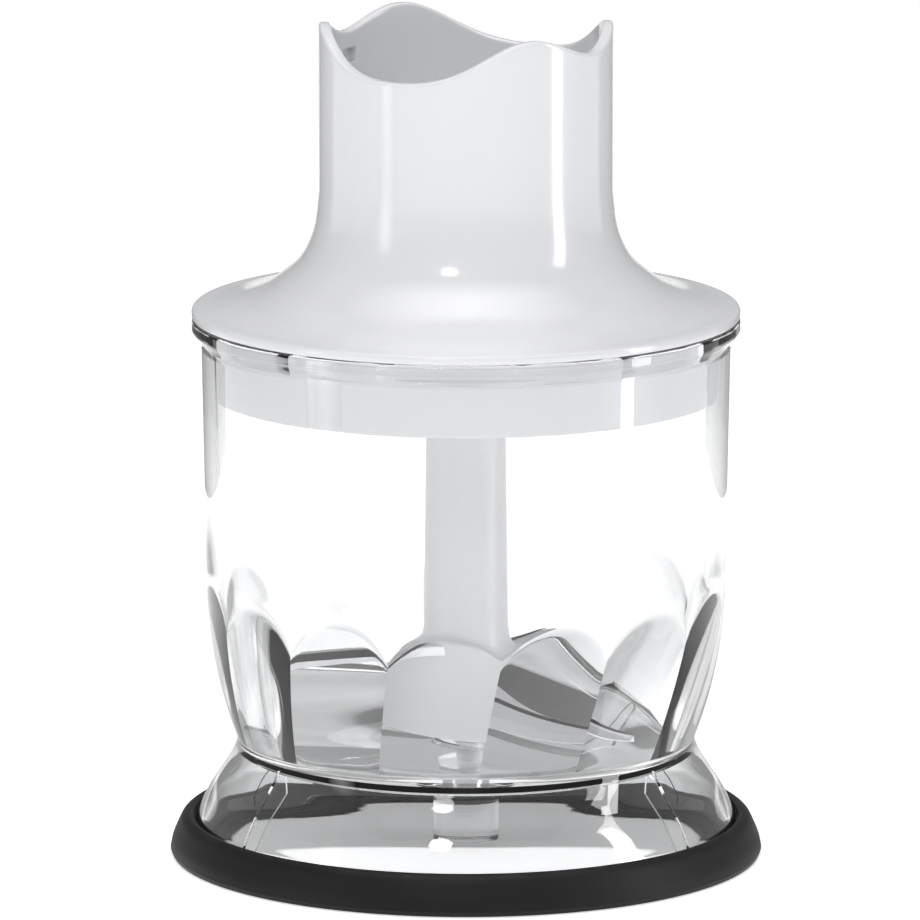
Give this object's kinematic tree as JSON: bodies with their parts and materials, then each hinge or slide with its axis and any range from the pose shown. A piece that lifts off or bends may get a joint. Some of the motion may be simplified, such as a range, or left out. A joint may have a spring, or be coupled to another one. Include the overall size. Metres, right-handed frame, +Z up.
{
  "type": "food chopper attachment",
  "caption": "Hand-blender chopper attachment: clear faceted bowl on a rubber ring, S-shaped blades, and a white lid with planetary reduction gear and motor collar.",
  "frame": {"origin": "centre of the rubber ring's underside, on the table", "axes": "+Z up along the bowl's, blade's and gear's common axis; -Y faces the front; +X to the right seen from the front"},
  "size_m": [0.118, 0.118, 0.1674],
  "materials": {
    "white_gloss": "smooth gloss white moulding",
    "white_satin": "satin white moulding",
    "clear_plastic": "clear moulded plastic, polished",
    "black_rubber": "satin black soft rubber",
    "seal_rubber": "grey lip seal",
    "blade_steel": "stamped stainless steel, ground edge",
    "pin_steel": "turned steel",
    "bush_bronze": "sintered bronze",
    "gear_plastic": "natural acetal",
    "sun_steel": "sintered steel",
    "grey_plastic": "grey engineering plastic",
    "coupling_plastic": "light grey engineering plastic"
  },
  "bodies": {
    "base_ring": {"base_ring": "black_rubber"},
    "bowl": {"bowl": "clear_plastic", "bowl_foot": "clear_plastic", "bowl_pin": "pin_steel"},
    "lid": {"lid_housing": "white_gloss", "lid_plate": "white_satin", "lower_bush": "bush_bronze", "output_seal": "seal_rubber", "thrust_washer": "pin_steel", "gear_housing": "grey_plastic", "ring_gear": "gear_plastic", "gear_cover": "grey_plastic", "gear_cover_screws": "pin_steel", "upper_bush": "bush_bronze"},
    "input": {"input_shaft": "pin_steel", "sun_gear": "sun_steel", "drive_coupling": "coupling_plastic"},
    "output": {"output_socket": "grey_plastic", "planet_carrier": "grey_plastic", "planet_pins": "pin_steel", "planet_retainer": "pin_steel"},
    "planet_1": {"planet_gear_1": "gear_plastic"},
    "planet_2": {"planet_gear_2": "gear_plastic"},
    "planet_3": {"planet_gear_3": "gear_plastic"},
    "blade": {"blade_shaft": "white_satin", "shaft_bush": "bush_bronze", "upper_blade": "blade_steel", "lower_blade": "blade_steel"}
  },
  "joints": [
    {"name": "bowl_lift", "type": "slide", "parent": "base_ring", "child": "bowl", "axis": [0, 0, 1], "range_m": [0, 0.03]},
    {"name": "lid_lift", "type": "slide", "parent": "bowl", "child": "lid", "axis": [0, 0, 1], "range_m": [0, 0.06]},
    {"name": "blade_spin", "type": "hinge", "parent": "bowl", "child": "blade", "pos_m": [0, 0, 0.04], "axis": [0, 0, 1], "continuous": true},
    {"name": "output_spin", "type": "hinge", "parent": "lid", "child": "output", "pos_m": [0, 0, 0.105], "axis": [0, 0, 1], "continuous": true},
    {"name": "input_spin", "type": "hinge", "parent": "lid", "child": "input", "pos_m": [0, 0, 0.12], "axis": [0, 0, 1], "continuous": true},
    {"name": "planet_1_spin", "type": "hinge", "parent": "output", "child": "planet_1", "pos_m": [0.012, 0, 0.113], "axis": [0, 0, 1], "continuous": true},
    {"name": "planet_2_spin", "type": "hinge", "parent": "output", "child": "planet_2", "pos_m": [-0.006, 0.01039, 0.113], "axis": [0, 0, 1], "continuous": true},
    {"name": "planet_3_spin", "type": "hinge", "parent": "output", "child": "planet_3", "pos_m": [-0.006, -0.01039, 0.113], "axis": [0, 0, 1], "continuous": true}
  ],
  "couplings": [
    {"joint": "output_spin", "follows": "blade_spin", "ratio": 1},
    {"joint": "input_spin", "follows": "blade_spin", "ratio": 5},
    {"joint": "planet_1_spin", "follows": "blade_spin", "ratio": -2.6667},
    {"joint": "planet_2_spin", "follows": "blade_spin", "ratio": -2.6667},
    {"joint": "planet_3_spin", "follows": "blade_spin", "ratio": -2.6667}
  ]
}
